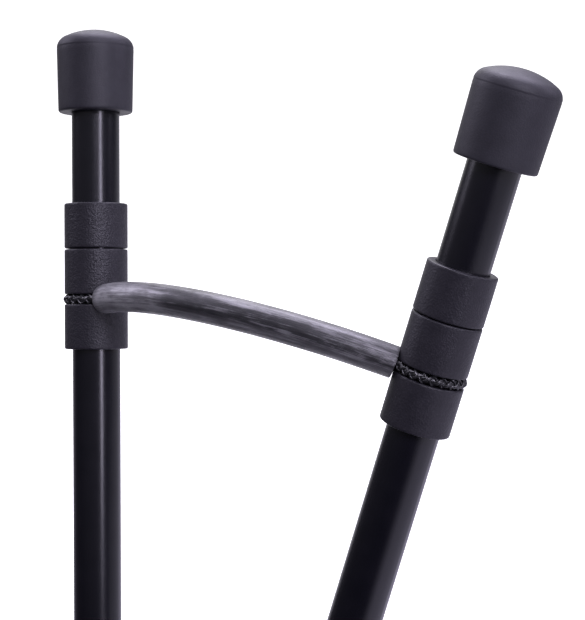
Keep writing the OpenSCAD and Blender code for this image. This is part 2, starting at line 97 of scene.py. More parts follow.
tilt_pivot = Vector(JOINTS["tilt"]["pos_m"])
YOKE = Matrix.Translation(tilt_pivot) @ Matrix.Rotation(-LEAN, 4, "X") @ Matrix.Translation((0, 0, -TILT_S))


def arm_frame(side):
    return YOKE @ Matrix.Rotation(SIDES[side] * HALF_ANGLE, 4, "Y")


# ---- Camera, light and floor ----

CAMERA_AZIMUTH = math.radians(35.673)
CAMERA_ELEVATION = math.radians(16.699)
CAMERA_AIM = Vector((0.0112, tilt_pivot.y + 0.1083, 0.6566))
CAMERA_DISTANCE = 0.570
LENS_MM = 88.8


def add_camera():
    camera = bpy.data.objects.new("camera", bpy.data.cameras.new("camera"))
    scene.collection.objects.link(camera)
    level = math.cos(CAMERA_ELEVATION)
    away = Vector((
        math.sin(CAMERA_AZIMUTH) * level, -math.cos(CAMERA_AZIMUTH) * level, math.sin(CAMERA_ELEVATION)))
    camera.location = CAMERA_AIM + CAMERA_DISTANCE * away
    camera.rotation_euler = (math.pi / 2 - CAMERA_ELEVATION, 0, CAMERA_AZIMUTH)
    camera.data.lens = LENS_MM
    camera.data.sensor_width = 36
    camera.data.clip_start = 0.01
    scene.camera = camera


LAVENDER = (0.84, 0.79, 1.0)


def area_light(name, turn, elevation, distance, size, power, aim=(0, 0.05, 0.55), tint=LAVENDER):
    """A soft rectangle facing its aim point; turn is in degrees to the right of the camera from above."""
    data = bpy.data.lights.new(name, "AREA")
    data.shape = "RECTANGLE"
    data.size, data.size_y = size
    data.energy = power
    data.color = tint
    lamp = bpy.data.objects.new(name, data)
    scene.collection.objects.link(lamp)
    a, e = CAMERA_AZIMUTH + math.radians(turn), math.radians(elevation)
    away = Vector((math.sin(a) * math.cos(e), -math.cos(a) * math.cos(e), math.sin(e)))
    lamp.location = Vector(aim) + distance * away
    lamp.rotation_euler = away.to_track_quat("Z", "Y").to_euler()


def add_lights():
    area_light("key_strip", 31, 21, 1.9, (0.24, 0.8), 10)
    area_light("front_fill", 16, 46, 2.2, (1.1, 0.8), 27)
    area_light("top_soft", 165, 66, 1.8, (1.6, 1.2), 50)
    area_light("side_right", 96, 32, 1.8, (0.8, 0.8), 8)
    area_light("side_left", -112, 30, 1.8, (0.9, 0.8), 11)


def surround(tree, place, stops):
    """Colour by direction round the object: 0.5 is towards the camera, more to its right, 0 and 1 behind."""
    turn = tree.nodes.new("ShaderNodeMapping")
    turn.inputs["Rotation"].default_value = (0, 0, math.pi / 2 - CAMERA_AZIMUTH)
    around = tree.nodes.new("ShaderNodeTexGradient")
    around.gradient_type = "RADIAL"
    ramp = tree.nodes.new("ShaderNodeValToRGB")
    elements = ramp.color_ramp.elements
    while len(elements) < len(stops):
        elements.new(0.5)
    for element, (position, level) in zip(elements, stops):
        element.position = position
        element.color = (level, level * 0.97, level * 1.1, 1) if level < 0.5 else (level, level, level, 1)
    tree.links.new(place, turn.inputs["Vector"])
    tree.links.new(turn.outputs["Vector"], around.inputs["Vector"])
    tree.links.new(around.outputs["Fac"], ramp.inputs["Fac"])
    return ramp.outputs["Color"]


def pale_when_seen(tree, around):
    """Full white where the camera looks straight at it, the studio's own light and dark in reflections."""
    seen = tree.nodes.new("ShaderNodeLightPath")
    mix = tree.nodes.new("ShaderNodeMix")
    mix.data_type = "RGBA"
    mix.inputs[7].default_value = (1, 1, 1, 1)
    tree.links.new(seen.outputs["Is Camera Ray"], mix.inputs["Factor"])
    tree.links.new(around, mix.inputs[6])
    return mix.outputs[2]


def add_world():
    """White behind the stand, dim in front of it, and brighter overhead than at the horizon."""
    world = bpy.data.worlds.new("studio")
    scene.world = world
    world.use_nodes = True
    tree = world.node_tree
    background = tree.nodes["Background"]
    place = tree.nodes.new("ShaderNodeTexCoord").outputs["Generated"]
    around = surround(tree, place, (
        (0.0, 1.0), (0.05, 1.0), (0.09, 0.35), (0.14, 0.18), (0.25, 0.15), (0.5, 0.12),
        (0.70, 0.09), (0.85, 0.08), (0.95, 0.25), (0.975, 1.0), (1.0, 1.0)))
    split = tree.nodes.new("ShaderNodeSeparateXYZ")
    tree.links.new(place, split.inputs["Vector"])
    rise = tree.nodes.new("ShaderNodeMapRange")
    rise.inputs["From Min"].default_value = 0.0
    rise.inputs["From Max"].default_value = 0.4
    rise.inputs["To Min"].default_value = 0.55
    rise.inputs["To Max"].default_value = 2.0
    tree.links.new(split.outputs["Z"], rise.inputs["Value"])
    lifted = tree.nodes.new("ShaderNodeVectorMath")
    lifted.operation = "SCALE"
    tree.links.new(around, lifted.inputs[0])
    tree.links.new(rise.outputs["Result"], lifted.inputs["Scale"])
    around = lifted.outputs["Vector"]
    tree.links.new(pale_when_seen(tree, around), background.inputs["Color"])
    background.inputs["Strength"].default_value = 1.0


def add_floor():
    mesh = bpy.data.meshes.new("floor")
    half = 30
    corners = [(-half, -half, 0), (half, -half, 0), (half, half, 0), (-half, half, 0)]
    mesh.from_pydata(corners, [], [(0, 1, 2, 3)])
    floor = bpy.data.objects.new("floor", mesh)
    scene.collection.objects.link(floor)
    material = bpy.data.materials.new("floor")
    material.use_nodes = True
    tree = material.node_tree
    shader = tree.nodes["Principled BSDF"]
    place = tree.nodes.new("ShaderNodeTexCoord").outputs["Object"]
    around = surround(tree, place, (
        (0.0, 0.55), (0.05, 0.5), (0.12, 0.16), (0.20, 0.04), (0.54, 0.025),
        (0.62, 0.36), (0.82, 0.36), (0.95, 0.40), (1.0, 0.55)))
    # The floor glows: painted light, bright behind and to the right of the stand and dim in front of it, which the
    # stand reflects and is lit by.
    seen = pale_when_seen(tree, around)
    tree.links.new(seen, shader.inputs["Base Color"])
    tree.links.new(seen, shader.inputs["Emission Color"])
    shader.inputs["Roughness"].default_value = 0.95
    shader.inputs["Specular IOR Level"].default_value = 0.05
    shader.inputs["Emission Strength"].default_value = 0.8
    mesh.materials.append(material)


add_camera()
add_lights()
add_world()
add_floor()

# ---- Material helpers ----


class Paint:
    """One node material, with short calls for the nodes that the finishes below share."""

    def __init__(self, name, color, roughness, metallic=0.0, specular=0.5):
        self.material = bpy.data.materials.new(name)
        self.material.use_nodes = True
        self.nodes = self.material.node_tree.nodes
        self.link = self.material.node_tree.links.new
        self.shader = self.nodes["Principled BSDF"]
        self.shader.inputs["Base Color"].default_value = (*color, 1)
        self.shader.inputs["Roughness"].default_value = roughness
        self.shader.inputs["Metallic"].default_value = metallic
        self.shader.inputs["Specular IOR Level"].default_value = specular
        self.place = self.nodes.new("ShaderNodeTexCoord").outputs["Object"]
        self.bumped = None

    def noise(self, scale, detail=3, rough=0.5, stretch=None, place=None):
        node = self.nodes.new("ShaderNodeTexNoise")
        node.inputs["Scale"].default_value = scale
        node.inputs["Detail"].default_value = detail
        node.inputs["Roughness"].default_value = rough
        place = place or self.place
        if stretch:
            place = self.stretched(place, stretch)
        self.link(place, node.inputs["Vector"])
        return node.outputs["Fac"]

    def cells(self, scale, feature="F1"):
        node = self.nodes.new("ShaderNodeTexVoronoi")
        node.feature = feature
        node.inputs["Scale"].default_value = scale
        self.link(self.place, node.inputs["Vector"])
        return node.outputs["Distance"]

    def stretched(self, place, stretch):
        node = self.nodes.new("ShaderNodeMapping")
        node.inputs["Scale"].default_value = stretch
        self.link(place, node.inputs["Vector"])
        return node.outputs["Vector"]

    def route(self):
        """A vertex's place on a swept piece, in metres: X is along it, the rest across or round it."""
        node = self.nodes.new("ShaderNodeAttribute")
        node.attribute_name = "route"
        return node.outputs["Vector"]

    def ramp(self, factor, *stops):
        node = self.nodes.new("ShaderNodeValToRGB")
        elements = node.color_ramp.elements
        while len(elements) < len(stops):
            elements.new(0.5)
        for element, (position, color) in zip(elements, stops):
            element.position = position
            element.color = (*color, 1) if len(color) == 3 else color
        self.link(factor, node.inputs["Fac"])
        return node.outputs["Color"]

    def span(self, factor, low, high, from_low=0.0, from_high=1.0):
        node = self.nodes.new("ShaderNodeMapRange")
        node.inputs["From Min"].default_value = from_low
        node.inputs["From Max"].default_value = from_high
        node.inputs["To Min"].default_value = low
        node.inputs["To Max"].default_value = high
        self.link(factor, node.inputs["Value"])
        return node.outputs["Result"]

    def mix(self, factor, a, b, blend="MIX"):
        node = self.nodes.new("ShaderNodeMix")
        node.data_type = "RGBA"
        node.blend_type = blend
        if isinstance(factor, (int, float)):
            node.inputs["Factor"].default_value = factor
        else:
            self.link(factor, node.inputs["Factor"])
        for value, socket in ((a, node.inputs[6]), (b, node.inputs[7])):
            if isinstance(value, tuple):
                socket.default_value = (*value, 1)
            else:
                self.link(value, socket)
        return node.outputs[2]

    def math(self, operation, a, b=0.0):
        node = self.nodes.new("ShaderNodeMath")
        node.operation = operation
        for value, socket in ((a, node.inputs[0]), (b, node.inputs[1])):
            if isinstance(value, (int, float)):
                socket.default_value = value
            else:
                self.link(value, socket)
        return node.outputs["Value"]

    def bump(self, height, distance, strength=1.0):
        node = self.nodes.new("ShaderNodeBump")
        node.inputs["Distance"].default_value = distance
        node.inputs["Strength"].default_value = strength
        self.link(height, node.inputs["Height"])
        if self.bumped:
            self.link(self.bumped, node.inputs["Normal"])
        self.bumped = node.outputs["Normal"]
        self.link(self.bumped, self.shader.inputs["Normal"])

    def color(self, value):
        self.link(value, self.shader.inputs["Base Color"])

    def roughness(self, value):
        self.link(value, self.shader.inputs["Roughness"])

    def edge_wear(self):
        """1 on worn outer edges, 0 on flats, from how the surface turns."""
        node = self.nodes.new("ShaderNodeNewGeometry")
        return self.span(node.outputs["Pointiness"], 0, 1, 0.52, 0.60)


# ---- Finishes ----


def black_paint():
    p = Paint("black_powder_coat", (0.003, 0.003, 0.0055), 0.2, specular=0.5)
    p.color(p.ramp(p.noise(120, 3), (0.3, (0.0022, 0.0022, 0.0050)), (0.7, (0.0040, 0.0038, 0.0070))))
    p.roughness(p.span(p.noise(35, 4, 0.6), 0.19, 0.31))
    p.bump(p.noise(900, 2), 0.00003, 0.30)
    p.bump(p.noise(160, 2), 0.00008, 0.15)
    return p.material


def cap_rubber():
    p = Paint("cap_rubber", (0.024, 0.023, 0.029), 0.6, specular=0.38)
    p.color(p.ramp(p.noise(90, 5, 0.7), (0.3, (0.0170, 0.0162, 0.0215)), (0.75, (0.026, 0.0250, 0.0320))))
    p.roughness(p.span(p.noise(240, 3), 0.46, 0.62))
    p.bump(p.cells(1500), 0.00007, 0.40)
    p.bump(p.noise(3000, 3, 0.6), 0.00005, 0.6)
    p.bump(p.noise(260, 3), 0.00010, 0.25)
    return p.material


def ring_rubber(name, pebble):
    """Moulded rubber whose skin is more or less pebbled."""
    p = Paint(name, (0.017, 0.015, 0.022), 0.55, specular=0.42)
    specks = p.noise(1700, 3, 0.7)
    base = p.ramp(p.noise(150, 5, 0.7), (0.3, (0.0110, 0.0102, 0.0150)), (0.8, (0.019, 0.0174, 0.0235)))
    p.color(p.mix(p.span(specks, 0, 0.5, 0.55, 0.75), base, (0.045, 0.040, 0.050)))
    p.roughness(p.span(p.noise(400, 3), 0.36, 0.54))
    p.bump(p.cells(1500, "SMOOTH_F1"), 0.00020 * pebble, 0.8)
    p.bump(specks, 0.00014 * pebble, 0.8)
    return p.material


def hose_rubber():
    """Old rubber tube: streaks along it, paler and mottled over its first third, painted shade along the top of
    that third, a painted highlight along the top, painted light along the underside and a painted shadow at the
    mouth where it starts.
    """
    p = Paint("hose_rubber", (0.09, 0.09, 0.10), 0.42, specular=0.5)
    along = p.route()
    streaks = p.noise(1.0, 6, 0.8, stretch=(30, 1000, 1000), place=along)
    fine = p.noise(1.0, 4, 0.6, stretch=(150, 4200, 4200), place=along)
    patches = p.noise(1.0, 5, 0.65, stretch=(70, 210, 210), place=along)
    split = p.nodes.new("ShaderNodeSeparateXYZ")
    p.link(along, split.inputs["Vector"])
    # Paler and mottled over the hose's first third.
    first_third_mask = p.span(split.outputs["X"], 1.0, 0.0, 0.026, 0.056)
    pale_rim = p.span(split.outputs["X"], 1.0, 0.0, 0.0002, 0.0012)
    mouth_shadow_mask = p.span(split.outputs["X"], 1.0, 0.0, 0.0010, 0.0060)
    under = p.span(split.outputs["Z"], 0.0, 1.0, 0.0030, 0.0056)
    above = p.span(split.outputs["Z"], 1.0, 0.0, -0.0050, -0.0012)
    both = p.math("ADD", p.math("MULTIPLY", streaks, 0.60), p.math("MULTIPLY", patches, 0.40))
    wear_and_painted_highlight = p.ramp(
        both, (0.40, (0.009, 0.009, 0.011)), (0.50, (0.026, 0.0255, 0.028)), (0.60, (0.200, 0.197, 0.206)))
    end_tone_and_top_shade = p.ramp(
        both, (0.36, (0.060, 0.059, 0.063)), (0.48, (0.240, 0.237, 0.246)), (0.60, (0.560, 0.553, 0.570)))
    # Painted shade: darker along the top of the first third.
    end_tone_and_top_shade = p.mix(p.math("MULTIPLY", above, 0.85), end_tone_and_top_shade, (0.040, 0.0395, 0.042))
    # Painted highlight: paler along the top, standing in for the shine on the hose's upper side.
    wear_and_painted_highlight = p.mix(p.math("MULTIPLY", above, p.span(both, 0.1, 0.9, 0.42, 0.58)), wear_and_painted_highlight, (0.095, 0.0935, 0.100))
    wear_and_painted_light = p.mix(p.math("MULTIPLY", first_third_mask, 0.9), wear_and_painted_highlight, end_tone_and_top_shade)
    # Painted shadow: darker near the mouth where the hose starts, against the rings.
    painted_mouth_shadow = p.math("MULTIPLY", mouth_shadow_mask, p.span(fine, 0.9, 0.35, 0.35, 0.65))
    wear_and_painted_light = p.mix(painted_mouth_shadow, wear_and_painted_light, (0.022, 0.0217, 0.024))
    # Painted light: paler along the underside, standing in for light thrown up from the floor below.
    painted_underlight = p.math("MULTIPLY", under, p.span(both, 0.2, 0.8, 0.36, 0.6))
    wear_and_painted_light = p.mix(painted_underlight, wear_and_painted_light, (0.30, 0.296, 0.308))
    frayed = p.math("MULTIPLY", pale_rim, p.span(fine, 0.2, 0.9, 0.35, 0.65))
    p.color(p.mix(frayed, wear_and_painted_light, (0.62, 0.61, 0.63)))
    p.roughness(p.span(both, 0.50, 0.24, 0.35, 0.6))
    p.bump(streaks, 0.00020, 0.8)
    p.bump(fine, 0.00006, 0.7)
    p.bump(p.noise(2600, 2), 0.00003, 0.4)
    return p.material


def sleeve_foam():
    p = Paint("sleeve_foam", (0.05, 0.05, 0.052), 0.8, specular=0.25)
    p.color(p.ramp(p.noise(130, 5, 0.7), (0.3, (0.026, 0.026, 0.028)), (0.75, (0.052, 0.052, 0.055))))
    p.roughness(p.span(p.noise(500, 3), 0.70, 0.88))
    p.bump(p.cells(1900, "F1"), 0.00020, 0.6)
    p.bump(p.noise(320, 3), 0.00020, 0.35)
    p.shader.inputs["Sheen Weight"].default_value = 0.15
    return p.material


def cord_yarn():
    p = Paint("cord_yarn", (0.012, 0.012, 0.014), 0.30, specular=0.9)
    along = p.route()
    fibres = p.noise(1.0, 3, 0.6, stretch=(300, 9000, 1), place=along)
    p.color(p.ramp(fibres, (0.3, (0.0018, 0.0018, 0.0026)), (0.75, (0.010, 0.010, 0.013))))
    p.roughness(p.span(fibres, 0.42, 0.26))
    p.bump(fibres, 0.00006, 0.7)
    return p.material


def moulded_plastic():
    p = Paint("moulded_plastic", (0.02, 0.02, 0.022), 0.5, specular=0.4)
    wear_and_painted_highlight = p.edge_wear()
    base = p.ramp(p.noise(80, 5, 0.65), (0.3, (0.013, 0.013, 0.015)), (0.75, (0.024, 0.024, 0.027)))
    p.color(p.mix(wear_and_painted_highlight, base, (0.075, 0.075, 0.08)))
    p.roughness(p.span(p.noise(300, 4), 0.42, 0.60))
    p.bump(p.cells(2300, "F1"), 0.00008, 0.5)
    p.bump(p.noise(5200, 2), 0.00002, 0.5)
    return p.material


def zinc_plate():
    p = Paint("zinc_plate", (0.60, 0.61, 0.63), 0.32, metallic=1.0)
    p.color(p.ramp(p.noise(420, 5, 0.7), (0.3, (0.46, 0.47, 0.49)), (0.75, (0.68, 0.69, 0.70))))
    p.roughness(p.span(p.noise(900, 4), 0.22, 0.44))
    p.bump(p.noise(2600, 3), 0.00003, 0.5)
    return p.material


def bright_stem():
    p = Paint("bright_stem", (0.62, 0.63, 0.65), 0.16, metallic=1.0)
    lines = p.noise(1.0, 3, 0.6, stretch=(2600, 2600, 30))
    p.color(p.ramp(p.noise(60, 4), (0.3, (0.52, 0.53, 0.55)), (0.7, (0.68, 0.69, 0.71))))
    p.roughness(p.span(lines, 0.10, 0.24))
    p.bump(lines, 0.00002, 0.4)
    return p.material


def nylon():
    p = Paint("nylon", (0.62, 0.60, 0.54), 0.45, specular=0.45)
    p.color(p.ramp(p.noise(110, 4), (0.3, (0.52, 0.50, 0.44)), (0.7, (0.66, 0.64, 0.58))))
    p.roughness(p.span(p.noise(500, 3), 0.38, 0.55))
    p.bump(p.noise(2200, 3), 0.00003, 0.5)
    p.shader.inputs["Subsurface Weight"].default_value = 0.05
    return p.material


def turned_brass():
    p = Paint("turned_brass", (0.62, 0.44, 0.18), 0.28, metallic=1.0)
    p.color(p.ramp(p.noise(350, 4), (0.3, (0.50, 0.35, 0.14)), (0.7, (0.70, 0.52, 0.24))))
    p.roughness(p.span(p.noise(1200, 3), 0.20, 0.40))
    p.bump(p.noise(1.0, 2, stretch=(4000, 60, 60)), 0.00003, 0.5)
    return p.material


FINISH = {
    "black_paint": black_paint(),
    "cap_rubber": cap_rubber(),
    "ring_rubber_left": ring_rubber("ring_rubber_pebbled", 1.0),
    "ring_rubber_right": ring_rubber("ring_rubber_smooth", 0.45),
    "hose_rubber": hose_rubber(),
    "sleeve_foam": sleeve_foam(),
    "cord_yarn": cord_yarn(),
    "plastic": moulded_plastic(),
    "zinc": zinc_plate(),
    "stem": bright_stem(),
    "nylon": nylon(),
    "brass": turned_brass(),
}
SLOT_FINISH = {
    "black_paint": "black_paint",
    "black_rubber": "cap_rubber",
    "grey_rubber": "sleeve_foam",
    "black_plastic": "plastic",
    "zinc": "zinc",
    "chrome_stem": "stem",
    "nylon": "nylon",
    "brass": "brass",
    "cord": "cord_yarn",
}

# ---- Mesh helpers ----

SHARP = math.radians(38)


def new_piece(name, vertices, faces, finish, body, slot, *stands_for):
    mesh = bpy.data.meshes.new(name)
    mesh.from_pydata(vertices, [], faces)
    mesh.validate()
    mesh.shade_smooth()
    mesh.set_sharp_from_angle(angle=SHARP)
    mesh.materials.append(FINISH[finish])
    piece = bpy.data.objects.new(name, mesh)
    scene.collection.objects.link(piece)
    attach(piece, body)
    if stands_for:
        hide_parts(*stands_for)
    return piece


def arc(center, radius, start, end, steps):
    """Points of a round stretch of a profile, angles in degrees."""
    return [
        (center[0] + radius * math.cos(math.radians(a)), center[1] + radius * math.sin(math.radians(a)))
        for a in (start + (end - start) * i / steps for i in range(steps + 1))
    ]


def line(start, end, steps):
    """Points from start up to, not including, end."""
    return [
        (start[0] + (end[0] - start[0]) * i / steps, start[1] + (end[1] - start[1]) * i / steps)
        for i in range(steps)
    ]


def turned(profile, place, segments, shape=None):
    """Vertices and faces of a closed profile of (radius, height) turned round the Z axis of place.
    shape(radius, height, angle) may change a point's radius."""
    vertices, faces, rows = [], [], []
    for r, z in profile:
        if r < 1e-7:
            rows.append([len(vertices)])
            vertices.append(place @ Vector((0, 0, z)))
            continue
        rows.append(list(range(len(vertices), len(vertices) + segments)))
        for k in range(segments):
            a = 2 * math.pi * k / segments
            rr = shape(r, z, a) if shape else r
            vertices.append(place @ Vector((rr * math.cos(a), rr * math.sin(a), z)))
    for low, high in zip(rows, rows[1:] + rows[:1]):
        if len(low) == 1 and len(high) == 1:
            continue
        for k in range(segments):
            n = (k + 1) % segments
            if len(low) == 1:
                faces.append((low[0], high[n], high[k]))
            elif len(high) == 1:
                faces.append((low[k], low[n], high[0]))
            else:
                faces.append((low[k], low[n], high[n], high[k]))
    return vertices, faces


# ---- Caps and feet ----

CAP_SEGMENTS = 128


def cap_profile():
    """Mouth at height 0: a lip, a wall that widens a little, a fine crease, a shoulder, a shallow dome."""
    lip = 0.0009
    crease = 0.00008
    slope = (CAP_TOP_R - CAP_MOUTH_R) / CAP_WALL_H
    edge_r = CAP_TOP_R - CAP_SHOULDER_R
    dome_r = (edge_r ** 2 + CAP_DOME_H ** 2 - CAP_SHOULDER_R ** 2) / (2 * (CAP_DOME_H - CAP_SHOULDER_R))
    turn = math.degrees(math.atan2(edge_r, dome_r - CAP_DOME_H))
    return (
        [(0, CAP_BORE_H), (TUBE_R + FIT, CAP_BORE_H), (TUBE_R + FIT, lip)]
        + arc((TUBE_R + FIT + lip * 0.5, lip * 0.5), lip * 0.5, 180, 270, 4)
        + arc((CAP_MOUTH_R - lip, lip), lip, -90, 0, 6)
        + line((CAP_MOUTH_R + slope * 0.002, 0.002), (CAP_TOP_R - crease * 0.4, CAP_WALL_H - 0.0006), 16)
        + [(CAP_TOP_R - crease * 0.2, CAP_WALL_H - 0.0005),
           (CAP_TOP_R - crease, CAP_WALL_H - 0.00015),
           (CAP_TOP_R - crease, CAP_WALL_H + 0.00015),
           (CAP_TOP_R - crease * 0.1, CAP_WALL_H + 0.0005)]
        + arc((edge_r, CAP_WALL_H), CAP_SHOULDER_R, 8, 90 - turn, 12)
        + arc((0, CAP_WALL_H + CAP_DOME_H - dome_r), dome_r, 90 - turn * 0.93, 89, 14)
        + [(0, CAP_WALL_H + CAP_DOME_H)]
    )


def rubber_shape(seed, amount):
    """A little unevenness, always inwards, as moulded rubber has once it is stretched over a tube."""
    def shape(r, z, angle):
        at = Vector((math.cos(angle) * r * 60, math.sin(angle) * r * 60, z * 60 + seed))
        return r - amount * (0.5 - 0.5 * noise.noise(at)) if r > TUBE_R + 0.001 else r
    return shape


def add_caps():
    for side, sign in SIDES.items():
        place = arm_frame(side) @ Matrix.Translation((0, 0, ARM_REACH))
        vertices, faces = turned(cap_profile(), place, CAP_SEGMENTS, rubber_shape(sign * 7.3, 0.00012))
        new_piece(f"cap_{side}", vertices, faces, "cap_rubber", "yoke", "black_rubber", f"arm_{side}_cap")


LEGS = {"rear_leg": (90, "base"), "leg_left": (210, "leg_left"), "leg_right": (-30, "leg_right")}
LEG_BOLT_R = 0.042
stem_axis = Vector((0, tilt_pivot.y, 0))
hinge_z = JOINTS["leg_left_swing"]["pos_m"][2]


def leg_frame(angle):
    """Along a leg's tube: Z points down the slope, origin where the tube meets the lug's neck."""
    return (
        Matrix.Translation(stem_axis) @ Matrix.Rotation(math.radians(angle), 4, "Z")
        @ Matrix.Translation((LEG_BOLT_R + NECK_LEN, 0, hinge_z))
        @ Matrix.Rotation(math.pi / 2 + LEG_SLOPE, 4, "Y")
    )


LEG_SLANT = (hinge_z - LEG_END_Z) / math.sin(LEG_SLOPE)


def add_feet():
    for leg, (angle, body) in LEGS.items():
        place = leg_frame(angle) @ Matrix.Translation((0, 0, LEG_SLANT - CAP_BORE_H))
        vertices, faces = turned(cap_profile(), place, CAP_SEGMENTS, rubber_shape(angle * 0.1, 0.00012))
        foot = new_piece(f"{leg}_rubber", vertices, faces, "cap_rubber", body, "black_rubber", f"{leg}_foot")
        cut = bmesh.new()
        cut.from_mesh(foot.data)
        got = bmesh.ops.bisect_plane(
            cut, geom=cut.verts[:] + cut.edges[:] + cut.faces[:], plane_co=(0, 0, 0.00002),
            plane_no=(0, 0, -1), clear_outer=True)
        rim = [g for g in got["geom_cut"] if isinstance(g, bmesh.types.BMEdge)]
        bmesh.ops.contextual_create(cut, geom=rim)
        bmesh.ops.recalc_face_normals(cut, faces=cut.faces[:])
        cut.to_mesh(foot.data)
        cut.free()


# ---- Rings ----

RING_SEGMENTS = 160
RING_EDGE = 0.0006


def ring_profile():
    r, h, e = RING_R, RING_H, RING_EDGE
    bore = TUBE_R + FIT
    return (
        [(bore, 0.0004)] + arc((bore + 0.0004, 0.0004), 0.0004, 180, 270, 3)
        + arc((r - e, e), e, -90, 0, 6)
        + line((r, e), (r, h - e), 24)[1:]
        + arc((r - e, h - e), e, 0, 90, 6)
        + arc((bore + 0.0004, h - 0.0004), 0.0004, 90, 180, 3)
    )


def add_rings():
    seed = 0
    for side in SIDES:
        for which, top in RING_TOPS.items():
            seed += 1
            place = arm_frame(side) @ Matrix.Translation((0, 0, top - RING_H))
            vertices, faces = turned(ring_profile(), place, RING_SEGMENTS, rubber_shape(seed * 3.1, 0.00010))
            new_piece(
                f"sleeve_{side}_{which}", vertices, faces, f"ring_rubber_{side}", "yoke", "black_rubber",
                f"ring_{side}_{which}")


# ---- Padded cord ----

END_R = RING_R + 0.0002
CHORD_HALF = CORD_S * math.sin(HALF_ANGLE) - END_R * math.cos(HOSE_MEETS_AT) * math.cos(HALF_ANGLE)
CHORD_Z = CORD_S * math.cos(HALF_ANGLE) + END_R * math.cos(HOSE_MEETS_AT) * math.sin(HALF_ANGLE)
CHORD_Y = -END_R * math.sin(HOSE_MEETS_AT)
BEND_R = (CHORD_HALF ** 2 + HOSE_BOW ** 2) / (2 * HOSE_BOW)
BEND_HALF = math.asin(CHORD_HALF / BEND_R)
WRAP_R = TUBE_R + CORD_R + 0.00015
GAP_FILL = 1.14
WRAP_FROM = math.acos(WRAP_R / math.hypot(END_R, STRAND)) + math.atan(STRAND / END_R)
# Plane of the hose's bend: +Y points to the middle of the bow, origin at the bend's centre
BEND = (
    YOKE @ Matrix.Translation((0, CHORD_Y, CHORD_Z)) @ Matrix.Rotation(math.pi - HOSE_TILT, 4, "X")
    @ Matrix.Translation((0, HOSE_BOW - BEND_R, 0))
)
HOSE_RINGS = 120
HOSE_SIDES = 48


def store_route(mesh, values):
    """Keeps each vertex's place on its piece, for the materials."""
    layer = mesh.attributes.new("route", "FLOAT_VECTOR", "POINT")
    layer.data.foreach_set("vector", [x for value in values for x in value])


def add_hose():
    """A rubber tube bent in an arc from ring to ring, open at both ends."""
    edge = 0.0005
    length = 2 * BEND_HALF * BEND_R
    spacing = length / HOSE_RINGS
    outer = [(0.0, HOSE_R - edge), (edge * 0.3, HOSE_R - edge * 0.3), (edge, HOSE_R)]
    outer += [(spacing * i, HOSE_R) for i in range(1, HOSE_RINGS)]
    outer += [(length - edge, HOSE_R), (length - edge * 0.3, HOSE_R - edge * 0.3), (length, HOSE_R - edge)]
    inner = [(length, HOSE_BORE_R)]
    inner += [(length * (1 - i / 40), HOSE_BORE_R) for i in range(1, 40)]
    inner += [(0.0, HOSE_BORE_R)]
    vertices, faces, route = [], [], []
    rows = outer + inner
    for s, r in rows:
        a = math.pi / 2 + BEND_HALF - s / BEND_R
        out = Vector((math.cos(a), math.sin(a), 0))
        for k in range(HOSE_SIDES):
            t = 2 * math.pi * k / HOSE_SIDES
            swell = r
            if r == HOSE_R:
                at = Vector((s * 55, math.cos(t) * 0.8, math.sin(t) * 0.8))
                swell -= 0.00008 * (0.5 - 0.5 * noise.noise(at))
            spot = out * (BEND_R + swell * math.cos(t)) + Vector((0, 0, swell * math.sin(t)))
            vertices.append(BEND @ spot)
            route.append((s, HOSE_R * math.cos(t), HOSE_R * math.sin(t)))
    for i in range(len(rows)):
        j = (i + 1) % len(rows)
        for k in range(HOSE_SIDES):
            n = (k + 1) % HOSE_SIDES
            faces.append((
                i * HOSE_SIDES + k, i * HOSE_SIDES + n, j * HOSE_SIDES + n, j * HOSE_SIDES + k))
    hose = new_piece("padding_hose", vertices, faces, "hose_rubber", "yoke", "grey_rubber", "rest_hose")
    store_route(hose.data, route)


def cord_route():
    """The closed cord loop in the V's frame: out through the hose, round one arm, back, round the other."""
    hose_at = math.pi + HOSE_MEETS_AT

    def bend_point(r, angle):
        lift = r * math.sin(angle) + HOSE_BOW - BEND_R
        return Vector((
            r * math.cos(angle), CHORD_Y - lift * math.cos(HOSE_TILT), CHORD_Z + lift * math.sin(HOSE_TILT)))

    def arm_point(sign, angle):
        return Vector((
            sign * (WRAP_R * math.cos(angle) * math.cos(HALF_ANGLE) + CORD_S * math.sin(HALF_ANGLE)),
            WRAP_R * math.sin(angle),
            CORD_S * math.cos(HALF_ANGLE) - WRAP_R * math.cos(angle) * math.sin(HALF_ANGLE)))

    half, turns = 32, 24
    steps = [i / half for i in range(-half, half + 1)]
    route = [bend_point(BEND_R + STRAND, math.pi / 2 - step * BEND_HALF) for step in steps]
    wrap = [WRAP_FROM + i * (2 * math.pi - 2 * WRAP_FROM) / turns for i in range(turns + 1)]
    route += [arm_point(1, hose_at + a) for a in wrap]
    route += [bend_point(BEND_R - STRAND, math.pi / 2 + step * BEND_HALF) for step in steps]
    route += [arm_point(-1, hose_at + 2 * math.pi - a) for a in wrap]
    return route


def even_loop(points, spacing):
    """The closed route resampled evenly, with its length."""
    lengths = [(points[(i + 1) % len(points)] - p).length for i, p in enumerate(points)]
    total = sum(lengths)
    count = round(total / spacing)
    result, i, passed = [], 0, 0.0
    for k in range(count):
        want = total * k / count
        while passed + lengths[i] < want:
            passed += lengths[i]
            i += 1
        a, b = points[i], points[(i + 1) % len(points)]
        result.append(a.lerp(b, (want - passed) / lengths[i]))
    for _ in range(3):
        result = [
            (result[i - 1] + 2 * p + result[(i + 1) % len(result)]) / 4 for i, p in enumerate(result)]
    return result, total


CORD_STEP = 0.00045
PLAIT_PITCH = 0.0068
CORE_R = 0.00095
YARN_HALF_WIDTH = 0.00085
YARN_HALF_THICKNESS = 0.00050
YARN_LAY_R = 0.00102
YARN_WEAVE = 0.00030
YARNS_EACH_WAY = 2


